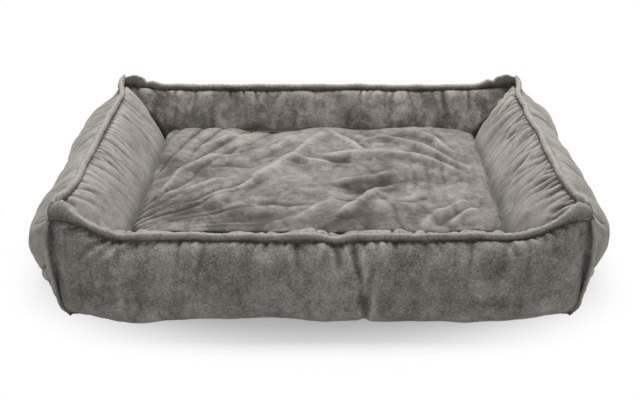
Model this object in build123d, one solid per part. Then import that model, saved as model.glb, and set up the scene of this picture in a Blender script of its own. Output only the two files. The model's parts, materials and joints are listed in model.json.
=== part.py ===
from build123d import *

# A rectangular bolster bed for a dog or cat, in millimetres.
# Four stuffed walls stand on a base panel, round a well that holds a loose cushion. Each wall is
# an outer and an inner panel of plush round a filling, joined along the top by a raised flange.
# X runs along the bed's length, -Y is its low front, and Z is up from the floor.

import os
from dataclasses import dataclass
from math import cos, hypot, pi, sin, sqrt

# Plan of the bed, between the upright seams at its corners
seam_length = 724.0
seam_depth = 524.0

# Fabrics, and the gap that keeps a layer clear of the one beside it
plush = 3.0
base_thickness = 3.0
lining_thickness = 2.0
layer_gap = 0.4

# Height of the top seam at the corners and at the middle of each wall
corner_seam_height = 160.0
front_seam_height = 126.0
rear_seam_height = 158.0
side_seam_height = 171.0

# How far in from the seam line each wall's feet stand
outer_foot = 8.0
long_wall_inner_foot = 62.0
side_wall_inner_foot = 85.0

# How far a panel swells past the straight line from its foot to the top seam
outer_swell = 40.0
corner_swell = 7.0
long_wall_inner_swell = 36.0
side_wall_inner_swell = 52.0
long_wall_corner_inner_swell = 26.0
side_wall_corner_inner_swell = 38.0

# Length over which a wall fills out from its corner, and the spacing of its sections
corner_run = 100.0
station_spacing = 45.0

# Flange that stands along the top seam, and rises to an ear at each corner
flange_width = 7.0
flange_height = 7.0
flange_round = 2.4
ear_height = 27.0
ear_run = 50.0

# Flange down each upright corner seam
corner_flange_width = 7.0
corner_flange_proud = 7.0
corner_flange_root = 12.0

# Loose cushion
cushion_gap = 1.5
cushion_rest_gap = 0.3
cushion_seam_height = 42.0
cushion_crown = 59.5
cushion_brow_rise = 42.0
cushion_brow_swell = 0.6
cushion_shoulder_run = 24.0
cushion_shoulder_drop = 1.5
cushion_shoulder_swell = 4.6
cushion_top_swell = 1.5
cushion_belly_run = 40.0
cushion_belly_bulge = 0.21
cushion_steps = 6
cushion_end_share = 0.25
cushion_end_squareness = 4
cushion_corner_run = 46.0
cushion_corner_draw = 18.0
cushion_side_draw = 2.0
cushion_flat_cut = 0.5

# Main swells and hollows of the cushion's top, over its mean height. Each row lies along X at its
# own Y, with its values a spacing apart from left to right
cushion_swell_spacing = 86.0
cushion_swells = {
    -95.0: (-2.0, -5.0, -1.0, 1.5, -3.0),
    0.0: (-2.0, 4.0, 1.0, -3.5, -1.0),
    95.0: (1.0, -4.5, 4.5, -1.0, 2.5),
}

# Coil zips: one low on the rear wall, one in the cushion's rear seam
rear_zip_length = 380.0
rear_zip_height = 45.0
rear_zip_facet = 0.9
cushion_zip_length = 310.0
cushion_zip_facet = 1.6
chain_width = 5.6
chain_proud = 1.4
chain_sunk = 1.0
chain_side_gap = 0.2
tape_width = 9.0
tape_thickness = 0.8
stop_length = 4.0
stop_proud = 1.0
slider_clearance = 0.35
slider_length = 11.0
slider_width = 9.6
slider_plate = 1.3
slider_round = 2.0
skirt_width = 1.3
bridge_length = 8.4
bridge_width = 2.2
bridge_thickness = 1.2
bridge_room = 2.4
pull_length = 28.0
pull_width = 6.8
pull_round = 2.2
pull_bar_radius = 0.7
pull_eye_length = 6.6
pull_eye_width = 3.2
pull_hole_radius = 1.3

seam_half = flange_width / 2
cushion_rest = base_thickness + lining_thickness + cushion_rest_gap
cushion_seam = cushion_rest + cushion_seam_height


def between(low, high, share):
    return low + (high - low) * share


@dataclass
class Arc:
    """A circle in the section of a stuffed piece, with out across the section and up along Z."""

    out: float
    up: float
    radius: float

    def out_at(self, up, side):
        return self.out + side * sqrt(self.radius**2 - (up - self.up) ** 2)

    def up_at(self, out):
        return self.up + sqrt(self.radius**2 - (out - self.out) ** 2)

    def inset(self, depth):
        return Arc(self.out, self.up, self.radius - depth)


def swollen(start, end, swell):
    """The arc between two points that swells to the right on the way from start to end."""
    run, rise = end[0] - start[0], end[1] - start[1]
    chord = hypot(run, rise)
    radius = chord**2 / (8 * swell) + swell / 2
    back = (radius - swell) / chord
    middle_out, middle_up = (start[0] + end[0]) / 2, (start[1] + end[1]) / 2
    return Arc(middle_out - back * rise, middle_up + back * run, radius)


def closed_wire(place, outline):
    """A closed wire through the outline's corners. An edge follows its corner's arc or points."""
    edges = []
    for (start, arc), (end, _) in zip(outline, outline[1:] + outline[:1]):
        if arc is None:
            edges.append(Edge.make_line(place(*start), place(*end)))
            continue
        if isinstance(arc, list):
            edges.append(Edge.make_spline([place(*point) for point in (start, *arc, end)]))
            continue
        run = (start[0] + end[0]) / 2 - arc.out
        rise = (start[1] + end[1]) / 2 - arc.up
        share = arc.radius / hypot(run, rise)
        through = (arc.out + share * run, arc.up + share * rise)
        edges.append(Edge.make_three_point_arc(place(*start), place(*through), place(*end)))
    return Wire(edges)


@dataclass
class Wall:
    """One wall, drawn as the front wall and then turned about Z to its own side."""

    name: str
    length: float
    setback: float
    turn: float
    seam_height: float
    inner_foot: float
    inner_swell: float
    corner_inner_swell: float

    def seam_at(self, full):
        return between(corner_seam_height, self.seam_height, full)

    def outer_arc(self, full):
        foot = (-outer_foot, base_thickness)
        seam = (seam_half, self.seam_at(full))
        return swollen(foot, seam, between(corner_swell, outer_swell, full))

    def inner_arc(self, full):
        foot = (-self.inner_foot, base_thickness)
        seam = (-seam_half, self.seam_at(full))
        return swollen(seam, foot, between(self.corner_inner_swell, self.inner_swell, full))

    def reach(self):
        """How far the inner panel comes in from the seam line where it is fullest."""
        arc = self.inner_arc(1.0)
        return arc.radius - arc.out

    def stations(self):
        """Evenly spaced places along the wall and a step past both ends of it."""
        half = self.length / 2
        count = round(half / station_spacing)
        return [half * step / count for step in range(-count - 1, count + 2)]

    def full_at(self, along):
        """How full the wall is there: not at all at its corners, and wholly past corner_run."""
        from_corner = max(0.0, self.length / 2 - abs(along))
        return (1 - cos(pi * min(1.0, from_corner / corner_run))) / 2

    def ear_at(self, along):
        """How much of the ear's height stands there: all at the corner, and none past its run."""
        from_corner = max(0.0, self.length / 2 - abs(along))
        return max(0.0, 1 - from_corner / ear_run)

    def loft(self, outline_at):
        """A smooth solid through the outline at each of the wall's stations."""
        wires = []
        for along in self.stations():
            wires.append(closed_wire(
                lambda out, up, along=along: Vector(along, -(self.setback + out), up),
                outline_at(self, self.full_at(along), self.ear_at(along)),
            ))
        return Solid.make_loft(wires)


long_shape = (long_wall_inner_foot, long_wall_inner_swell, long_wall_corner_inner_swell)
side_shape = (side_wall_inner_foot, side_wall_inner_swell, side_wall_corner_inner_swell)
front_wall = Wall("front", seam_length, seam_depth / 2, 0, front_seam_height, *long_shape)
right_wall = Wall("right", seam_depth, seam_length / 2, 90, side_seam_height, *side_shape)
rear_wall = Wall("rear", seam_length, seam_depth / 2, 180, rear_seam_height, *long_shape)
side_reach = right_wall.reach()
long_reach = max(front_wall.reach(), rear_wall.reach())


def corner_room(wall, gap):
    """The upright prism that a wall fills, cut off at both ends along the line of its mitres."""
    own, beside = (long_reach, side_reach) if wall.length == seam_length else (side_reach, long_reach)
    half = wall.length / 2 - gap
    out = 1.5 * outer_swell
    past = 1.5
    right = [
        (half - past * beside, past * own - wall.setback),
        (half, -wall.setback),
        (half + out, -wall.setback - out),
    ]
    corners = right + [(-x, y) for x, y in reversed(right)]
    plan = Face(Wire.make_polygon([Vector(x, y, 0) for x, y in corners]))
    return Solid.extrude(plan, Vector(0, 0, 2 * (wall.seam_height + corner_seam_height)))


def wall_solid(wall, outline_at, gap=0.0):
    return wall.loft(outline_at) & corner_room(wall, gap)


def envelope_outline(wall, full, _ear):
    """The wall's whole section, grown by the gap that a neighbour keeps from it."""
    outer = wall.outer_arc(full).inset(-layer_gap)
    inner = wall.inner_arc(full).inset(-layer_gap)
    return [
        ((outer.out_at(base_thickness, 1), base_thickness), outer),
        ((seam_half, outer.up_at(seam_half)), None),
        ((-seam_half, inner.up_at(-seam_half)), inner),
        ((inner.out_at(base_thickness, -1), base_thickness), None),
    ]


def peak(first, second):
    """The upper of the two points where a pair of arcs' circles cross."""
    run, rise = second.out - first.out, second.up - first.up
    apart = hypot(run, rise)
    along = (first.radius**2 - second.radius**2 + apart**2) / (2 * apart)
    across = sqrt(first.radius**2 - along**2)
    crossings = [
        (first.out + (along * run - side * across * rise) / apart,
         first.up + (along * rise + side * across * run) / apart)
        for side in (-1, 1)
    ]
    return max(crossings, key=lambda crossing: crossing[1])


def hollow_outline(wall, full, _ear, depth=plush):
    """The section inside both panels, which comes to an edge under the top seam."""
    outer = wall.outer_arc(full).inset(depth)
    inner = wall.inner_arc(full).inset(depth)
    return [
        ((outer.out_at(base_thickness, 1), base_thickness), outer),
        (peak(outer, inner), inner),
        ((inner.out_at(base_thickness, -1), base_thickness), None),
    ]


def filling_outline(wall, full, ear):
    return hollow_outline(wall, full, ear, plush + layer_gap)


def parting_foot(wall):
    """Halfway between the wall's feet, where the line that parts its panels meets the base."""
    return (-(outer_foot + wall.inner_foot) / 2, base_thickness)


def outer_half_outline(wall, full, _ear):
    seam = wall.seam_at(full)
    return [
        ((-outer_foot, base_thickness), wall.outer_arc(full)),
        ((seam_half, seam), None),
        ((0.0, seam), None),
        (parting_foot(wall), None),
    ]


def inner_half_outline(wall, full, _ear):
    seam = wall.seam_at(full)
    return [
        ((0.0, seam), None),
        ((-seam_half, seam), wall.inner_arc(full)),
        ((-wall.inner_foot, base_thickness), None),
        (parting_foot(wall), None),
    ]


def flange_outline(wall, full, ear):
    low = wall.seam_at(full) + layer_gap
    side_top = low + between(flange_height, ear_height, ear) - flange_round
    crown = swollen((seam_half, side_top), (-seam_half, side_top), flange_round)
    return [
        ((-seam_half, low), None),
        ((seam_half, low), None),
        ((seam_half, side_top), crown),
        ((-seam_half, side_top), None),
    ]


def wall_nodes(wall):
    """A wall's two panels, its filling and its top flange, in their place on the bed."""
    hollow = wall_solid(wall, hollow_outline, plush * sqrt(2))
    filling = wall_solid(wall, filling_outline, (plush + layer_gap) * sqrt(2))
    turned = Rotation(0, 0, wall.turn)
    return {
        f"{wall.name}_outer_panel": turned * (wall_solid(wall, outer_half_outline) - hollow),
        f"{wall.name}_inner_panel": turned * (wall_solid(wall, inner_half_outline) - hollow),
        f"{wall.name}_filling": turned * filling,
        f"{wall.name}_top_flange": turned * wall_solid(wall, flange_outline),
    }


def right_corner_flange(long_wall):
    """The upright flange outside a long wall's corner with the right wall, shaped to both."""
    corner = long_wall.outer_arc(0.0)
    half = corner_flange_width / 2
    wires = []
    for share in (0.0, 0.25, 0.5, 0.75, 1.0):
        up = between(base_thickness, corner_seam_height - layer_gap, share)
        edge = corner.out_at(up, 1) * sqrt(2)
        root, side_end = edge - corner_flange_root, edge + corner_flange_proud - flange_round
        tip = swollen((side_end, -half), (side_end, half), flange_round)
        wires.append(closed_wire(
            lambda out, across, up=up: Vector(out, across, up),
            [((root, -half), None), ((side_end, -half), tip),
             ((side_end, half), None), ((root, half), None)],
        ))
    y_side = 1 if long_wall is rear_wall else -1
    place = Pos(seam_length / 2, y_side * seam_depth / 2, 0) * Rotation(0, 0, 45 * y_side)
    flange = place * Solid.make_loft(wires)
    for wall in (long_wall, right_wall):
        envelope = wall_solid(wall, envelope_outline, -layer_gap)
        flange = flange - Rotation(0, 0, wall.turn) * envelope
    return flange


def base_panel():
    return Pos(0, 0, base_thickness / 2) * Box(
        seam_length - 2 * outer_foot, seam_depth - 2 * outer_foot, base_thickness)


def well_lining():
    """The floor of the well, which reaches the foot of each wall's inner panel."""
    top = base_thickness + lining_thickness
    along = seam_length / 2 + right_wall.inner_arc(1.0).out_at(top, -1) - layer_gap
    front = -seam_depth / 2 - front_wall.inner_arc(1.0).out_at(top, -1) + layer_gap
    rear = seam_depth / 2 + rear_wall.inner_arc(1.0).out_at(top, -1) - layer_gap
    floor = Box(2 * along, rear - front, lining_thickness)
    return Pos(0, (front + rear) / 2, base_thickness + lining_thickness / 2) * floor


cushion_half_length = seam_length / 2 - side_reach - cushion_gap
cushion_half_depth = seam_depth / 2 - long_reach - cushion_gap


def cushion_full_at(share):
    """How much of the cushion's full section stands there, from 0 at its middle to 1 at its end."""
    square = (1 - abs(share) ** cushion_end_squareness) ** (1 / 3)
    return between(cushion_end_share, 1.0, square)


def cushion_draw_at(from_end):
    """How far in the cushion's long side is drawn there, most at the corner and none past it."""
    corner = max(0.0, 1 - from_end / cushion_corner_run)
    side = min(1.0, max(0.0, from_end / cushion_corner_run - 1))
    return cushion_corner_draw * corner + cushion_side_draw * (1 - cos(pi * side)) / 2


def swell_at(row, x):
    """The height of a row's swells there, eased from each value to the next."""
    last = len(row) - 1
    place = min(last, max(0.0, x / cushion_swell_spacing + last / 2))
    low = min(last - 1, int(place))
    return between(row[low], row[low + 1], (1 - cos(pi * (place - low))) / 2)


def top_outline(half, full, depth, x):
    """The cushion's section above its seam: upright edges, round shoulders and a swelling top."""
    brow_up = cushion_seam + cushion_brow_rise * full - depth / 2
    shoulder = half - cushion_shoulder_run
    shoulder_up = cushion_seam + (cushion_crown - cushion_shoulder_drop) * full - depth
    right, left = (half - depth, cushion_seam), (depth - half, cushion_seam)
    right_brow, left_brow = (half - depth, brow_up), (depth - half, brow_up)
    right_shoulder, left_shoulder = (shoulder, shoulder_up), (-shoulder, shoulder_up)
    top = [
        (out, cushion_seam + (cushion_crown + swell_at(row, x)) * full - depth)
        for out, row in sorted(cushion_swells.items(), reverse=True)
    ]
    ridges = [right_shoulder, *top]
    return [
        (left, None),
        (right, swollen(right, right_brow, cushion_brow_swell * full)),
        (right_brow, swollen(right_brow, right_shoulder, cushion_shoulder_swell * full)),
        *((near, swollen(near, far, cushion_top_swell)) for near, far in zip(ridges, top + [left_shoulder])),
        (left_shoulder, swollen(left_shoulder, left_brow, cushion_shoulder_swell * full)),
        (left_brow, swollen(left_brow, left, cushion_brow_swell * full)),
    ]


def bottom_outline(half, full, depth, x):
    """The cushion's section below its seam: two bulging edges and a flat where it rests."""
    flat = half - cushion_belly_run
    floor = cushion_seam - (cushion_seam_height + cushion_flat_cut) * full + depth
    bulge = cushion_belly_bulge * hypot(cushion_belly_run - depth, cushion_seam - floor) * full
    right, right_flat = (half - depth, cushion_seam), (flat, floor)
    left, left_flat = (depth - half, cushion_seam), (-flat, floor)
    return [
        (right, None),
        (left, swollen(left, left_flat, bulge)),
        (left_flat, None),
        (right_flat, swollen(right_flat, right, bulge)),
    ]


def cushion_body(outline_at, depth):
    """A loft through the cushion's sections, set in by depth from the cushion's skin."""
    wires = []
    for step in range(-cushion_steps, cushion_steps + 1):
        share = step / cushion_steps
        from_end = cushion_half_length * (1 - abs(share))
        x = (cushion_half_length - depth) * share
        half_depth = cushion_half_depth - cushion_draw_at(from_end)
        outline = outline_at(half_depth, cushion_full_at(share), depth, x)
        wires.append(closed_wire(lambda out, up, x=x: Vector(x, out, up), outline))
    return Solid.make_loft(wires)


@dataclass
class Zip:
    """A straight coil zip. Its plane has X along it and Z out of the fabric, at the chain's middle."""

    name: str
    length: float
    plane: Plane

    def block(self, along, across, out):
        """A box between a low and a high value on each of the zip's own axes."""
        low, high = Vector(along[0], across[0], out[0]), Vector(along[1], across[1], out[1])
        size = high - low
        return Pos((low + high) / 2) * Box(size.X, size.Y, size.Z)

    def placed(self, shape):
        return self.plane.location * shape

    def fitted(self, panel):
        """The panel with a flat for the tapes and a slot for the chain."""
        half = self.length / 2 + stop_length
        reach = tape_width + chain_width
        slot = chain_width / 2 + chain_side_gap
        flat = self.block((-half, half), (-reach, reach), (0, 2 * plush))
        opening = self.block((-half, half), (-slot, slot), (-4 * plush, 2 * plush))
        return panel - self.placed(flat) - self.placed(opening)

    def tape(self, side):
        half = self.length / 2 + stop_length
        edges = sorted((side * chain_width / 2, side * (chain_width / 2 + tape_width)))
        return self.placed(self.block((-half, half), edges, (0, tape_thickness)))

    def chain(self):
        half = self.length / 2
        across = (-chain_width / 2, chain_width / 2)
        return self.placed(self.block((-half, half), across, (-chain_sunk, chain_proud)))

    def stops(self):
        across = (-chain_width / 2, chain_width / 2)
        out = (-chain_sunk, chain_proud + stop_proud)
        ends = [
            sorted((side * self.length / 2, side * (self.length / 2 + stop_length)))
            for side in (-1, 1)
        ]
        return Compound([self.placed(self.block(end, across, out)) for end in ends])

    def slider_start(self):
        """The slider's place along the zip at its closed end, against the stop."""
        return slider_clearance + slider_length / 2 - self.length / 2

    def slider(self, bridge):
        half, wide = slider_length / 2, slider_width / 2
        low = chain_proud + slider_clearance
        body = self.block((-half, half), (-wide, wide),
                          (tape_thickness + slider_clearance, low + slider_plate))
        body = fillet(body.edges().filter_by(Axis.Z), slider_round)
        inside = wide - skirt_width
        body = body - self.block((-slider_length, slider_length), (-inside, inside), (0, low))
        if bridge:
            body = body + self.bridge(low + slider_plate)
        return self.placed(Pos(self.slider_start(), 0, 0) * body)

    def bridge(self, floor):
        half, wide = bridge_length / 2, bridge_width / 2
        arch = self.block((-half, half), (-wide, wide), (floor, floor + bridge_room + bridge_thickness))
        under = half - bridge_thickness
        return arch - self.block((-under, under), (-wide, wide), (floor, floor + bridge_room))

    def pull(self):
        """The pull at rest along the zip, with the bar at its end under the slider's bridge."""
        half, wide, eye = pull_bar_radius, pull_width / 2, pull_eye_width / 2
        tab = self.block((0, pull_length), (-wide, wide), (-half, half))
        tab = fillet(tab.edges().filter_by(Axis.Z).group_by(Axis.X)[-1], pull_round)
        tab = tab - self.block((-half, pull_eye_length), (-eye, eye), (-half, half))
        tab = tab - Pos(pull_length - wide, 0, 0) * Cylinder(pull_hole_radius, pull_width)
        tab = tab + Rotation(90, 0, 0) * Cylinder(pull_bar_radius, pull_width)
        axis_height = chain_proud + slider_clearance + slider_plate + bridge_room / 2
        return self.placed(Pos(self.slider_start(), 0, axis_height) * tab)

    def nodes(self, has_pull):
        parts = {
            "upper_tape": self.tape(1),
            "lower_tape": self.tape(-1),
            "chain": self.chain(),
            "stops": self.stops(),
            "slider": self.slider(has_pull),
        }
        if has_pull:
            parts["pull"] = self.pull()
        return {f"{self.name}_{part}": shape for part, shape in parts.items()}


def rear_zip_plane():
    """On the rear wall's outer panel, square to its swell at the zip's height."""
    skin = rear_wall.outer_arc(1.0)
    out = skin.out_at(rear_zip_height, 1)
    normal = Vector(0, out - skin.out, rear_zip_height - skin.up).normalized()
    on_skin = Vector(0, rear_wall.setback + out, rear_zip_height)
    return Plane(origin=on_skin - normal * rear_zip_facet, x_dir=(-1, 0, 0), z_dir=normal)


def cushion_zip_plane():
    rear_edge = cushion_half_depth - cushion_side_draw - cushion_zip_facet
    return Plane(origin=(0, rear_edge, cushion_seam), x_dir=(-1, 0, 0), z_dir=(0, 1, 0))


rear_zip = Zip("rear_zip", rear_zip_length, rear_zip_plane())
cushion_zip = Zip("cushion_zip", cushion_zip_length, cushion_zip_plane())

nodes = {}
for wall in (front_wall, right_wall, rear_wall):
    nodes |= wall_nodes(wall)
nodes["rear_outer_panel"] = rear_zip.fitted(nodes["rear_outer_panel"])
for name in list(nodes):
    if name.startswith("right"):
        nodes[name.replace("right", "left")] = Rotation(0, 0, 180) * nodes[name]

for long_wall in (front_wall, rear_wall):
    flange = right_corner_flange(long_wall)
    nodes[f"{long_wall.name}_right_corner_flange"] = flange
    nodes[f"{long_wall.name}_left_corner_flange"] = mirror(flange, Plane.YZ)

nodes["base_panel"] = base_panel()
nodes["well_lining"] = well_lining()

above_rest = Pos(0, 0, cushion_rest + seam_length / 2) * Box(seam_length, seam_length, seam_length)
for name, outline_at in (("top", top_outline), ("bottom", bottom_outline)):
    panel = (cushion_body(outline_at, 0.0) & above_rest) - cushion_body(outline_at, plush)
    nodes[f"cushion_{name}_panel"] = cushion_zip.fitted(panel)
filling_depth = plush + layer_gap
nodes["cushion_filling"] = (
    cushion_body(top_outline, filling_depth) + cushion_body(bottom_outline, filling_depth))

nodes |= rear_zip.nodes(has_pull=True)
nodes |= cushion_zip.nodes(has_pull=False)

os.makedirs("parts", exist_ok=True)
for name, shape in nodes.items():
    export_step(shape, f"parts/{name}.step")
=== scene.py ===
"""Dresses a rectangular bolster pet bed: plush walls, rolled flanges, a loose cushion, filling and zips."""

import json
import math

import bmesh
import bpy
import numpy as np
from bpy.props import FloatProperty, FloatVectorProperty, PointerProperty
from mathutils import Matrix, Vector


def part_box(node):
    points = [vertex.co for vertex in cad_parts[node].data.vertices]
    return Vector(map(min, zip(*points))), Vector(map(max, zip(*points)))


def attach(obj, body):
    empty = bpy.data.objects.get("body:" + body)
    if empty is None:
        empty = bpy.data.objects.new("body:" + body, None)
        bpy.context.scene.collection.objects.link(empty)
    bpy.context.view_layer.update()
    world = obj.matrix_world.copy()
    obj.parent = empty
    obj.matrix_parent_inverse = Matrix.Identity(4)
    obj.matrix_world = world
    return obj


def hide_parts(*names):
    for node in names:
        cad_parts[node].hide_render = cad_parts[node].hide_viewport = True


bl_info = {
    "name": "Bolster Pet Bed",
    "version": (1, 0, 0),
    "blender": (4, 5, 0),
    "location": "3D Viewport > Sidebar > Pet Bed",
    "description": "Makes the plush covers, flanges, cushion, filling and zips of a bolster pet bed",
    "category": "Object",
}

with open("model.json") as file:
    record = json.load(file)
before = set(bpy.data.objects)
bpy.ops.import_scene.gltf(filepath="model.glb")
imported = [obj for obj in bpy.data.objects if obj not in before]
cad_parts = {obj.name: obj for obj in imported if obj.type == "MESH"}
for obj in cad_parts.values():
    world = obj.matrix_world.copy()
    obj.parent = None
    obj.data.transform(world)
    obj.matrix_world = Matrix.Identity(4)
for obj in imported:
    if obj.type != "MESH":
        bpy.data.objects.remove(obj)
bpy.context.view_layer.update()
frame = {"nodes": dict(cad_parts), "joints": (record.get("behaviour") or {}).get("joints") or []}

# Places that the frame gives
base_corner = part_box("base_panel")[1]
seam_x = sum(corner.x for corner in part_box("right_top_flange")) / 2
seam_y = -sum(corner.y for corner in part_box("front_top_flange")) / 2
outer_foot = seam_x - base_corner.x
base_top = base_corner.z
cushion_low, cushion_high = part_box("cushion_top_panel")
cushion_seam = cushion_low.z
cushion_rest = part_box("cushion_bottom_panel")[0].z
rear_zip_low, rear_zip_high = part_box("rear_zip_chain")
cushion_zip_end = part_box("cushion_zip_chain")[1].x

upwards = np.array([0.0, 0.0, 1.0])


def metres(name, description, default):
    return FloatProperty(name=name, description=description, default=default, unit="LENGTH")


def shown_colour(name, description, red, green, blue):
    """A colour given as the sRGB values that it shows on a screen, kept as linear light."""
    linear = [((value / 255 + 0.055) / 1.055) ** 2.4 for value in (red, green, blue)]
    return FloatVectorProperty(
        name=name, description=description, default=(*linear, 1.0), size=4, subtype="COLOR",
        min=0.0, max=1.0)


class BedSizes(bpy.types.PropertyGroup):
    """Sizes of the bed's soft forms"""

    corner_seam: metres("Corner seam", "Height of the top seam at the corners", 0.160)
    front_seam: metres("Front seam", "Height of the front wall's top seam", 0.126)
    rear_seam: metres("Rear seam", "Height of the rear wall's top seam", 0.158)
    side_seam: metres("Side seam", "Height of the side walls' top seams", 0.171)
    long_foot: metres("Long wall foot", "Inner foot of the front and rear walls", 0.062)
    side_foot: metres("Side wall foot", "Inner foot of the side walls", 0.085)
    front_outer_swell: metres("Front outer swell", "Swell of the front outer panel", 0.045)
    rear_outer_swell: metres("Rear outer swell", "Swell of the rear outer panel", 0.041)
    side_outer_swell: metres("Side outer swell", "Swell of the side outer panels", 0.054)
    low_swell: metres("Low swell", "How far the front wall swells out over the floor", 0.011)
    side_high_swell: metres("Side high swell", "How far the side walls swell out under their seams", 0.013)
    corner_swell: metres("Corner swell", "Outer swell left at the corners", 0.007)
    front_swell: metres("Front swell", "Inner swell of the front wall", 0.0345)
    rear_swell: metres("Rear swell", "Inner swell of the rear wall", 0.0305)
    side_swell: metres("Side wall swell", "Inner swell of the side walls", 0.031)
    side_draw: metres("Side seam draw", "How far in the side seams are drawn", 0.017)
    rear_draw: metres("Rear seam draw", "How far in the rear seam is drawn", 0.016)
    corner_run: metres("Corner run", "Length over which a wall fills out", 0.100)
    seam_puff: metres("Seam puff", "How far the plush puffs up beside a flange", 0.0030)
    gather_depth: metres("Gather depth", "Depth of the broad gathers by the flanges", 0.0070)
    flange_height: metres("Flange height", "Height of the rolled flange", 0.0112)
    flange_width: metres("Flange width", "Width of the rolled flange", 0.0094)
    ear_height: metres("Ear height", "Height of the ears over the corner seam", 0.027)
    crown: metres("Cushion crown", "Height of the cushion's crown over its seam", 0.0605)
    cloth: metres("Cloth", "Thickness of the plush", 0.002)


class BedColours(bpy.types.PropertyGroup):
    """Colours of the bed's cloths"""

    # The plush's dark, middle and light pile; the ramp between them also carries painted light and shade
    plush_dark: shown_colour("Plush dark", "Pile that leans away from the light", 104, 99, 93)
    plush_mid: shown_colour("Plush", "Pile that stands up", 140, 135, 128)
    plush_light: shown_colour("Plush light", "Crushed and stroked pile", 176, 172, 164)
    base: shown_colour("Base cloth", "Cloth under the bed", 62, 59, 57)
    lining: shown_colour("Lining", "Cloth on the floor of the well", 118, 113, 108)
    tape: shown_colour("Zip tape", "Woven tape of both zips", 112, 106, 101)
    wadding: shown_colour("Wadding", "Polyester fibre filling", 232, 230, 224)


# Odd numbers that scatter a column, a row, a seed and their mix, and the 32 bits that are kept
column_odd, row_odd, seed_odd, last_odd, all_bits = 374761393, 668265263, 982451653, 1274126177, 0xFFFFFFFF


def hashed(column, row, seed):
    """A steady pseudo-random number from -1 to 1 for each whole column and row."""
    mixed = column.astype(np.int64) * column_odd + row.astype(np.int64) * row_odd + seed * seed_odd
    mixed = (mixed ^ (mixed >> 13)) & all_bits
    mixed = (mixed * last_odd) & all_bits
    mixed = mixed ^ (mixed >> 16)
    return mixed / 2.0**31 - 1.0


def noise(x, y, seed):
    """Smooth noise from -1 to 1, with one swell for each unit of x and y."""
    x, y = np.broadcast_arrays(np.asarray(x, float), np.asarray(y, float))
    column, row = np.floor(x), np.floor(y)
    fade_x, fade_y = (f * f * f * (f * (f * 6 - 15) + 10) for f in (x - column, y - row))
    low = hashed(column, row, seed) * (1 - fade_x) + hashed(column + 1, row, seed) * fade_x
    high = hashed(column, row + 1, seed) * (1 - fade_x) + hashed(column + 1, row + 1, seed) * fade_x
    return low * (1 - fade_y) + high * fade_y


def smooth_step(value, low, high):
    share = np.clip((value - low) / (high - low), 0.0, 1.0)
    return share * share * (3 - 2 * share)


def within(value, low, high):
    """1 as far as low on either side of 0, falling softly to 0 at high."""
    return 1 - smooth_step(np.abs(value), low, high)


def bell(value, width):
    return np.exp(-((value / width) ** 2))


def rumpled(x, y, seed, power=0.7):
    """Soft pillows between narrow pinches, from about -0.5 to 0.5."""
    return np.abs(noise(x, y, seed)) ** power - 0.42


def pleats(along, down, pitch, length, seed):
    """Rumples that run down from a seam."""
    bent = along / pitch + 0.55 * noise(along / (3 * pitch), down / (0.6 * length), seed + 7)
    return rumpled(bent, down / length, seed, 0.75)


# Where the front wall's top seam dips, over what length, and half the thickness of a seam
dip_place, dip_reach, seam_neck = 0.020, 0.017, 0.002


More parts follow.
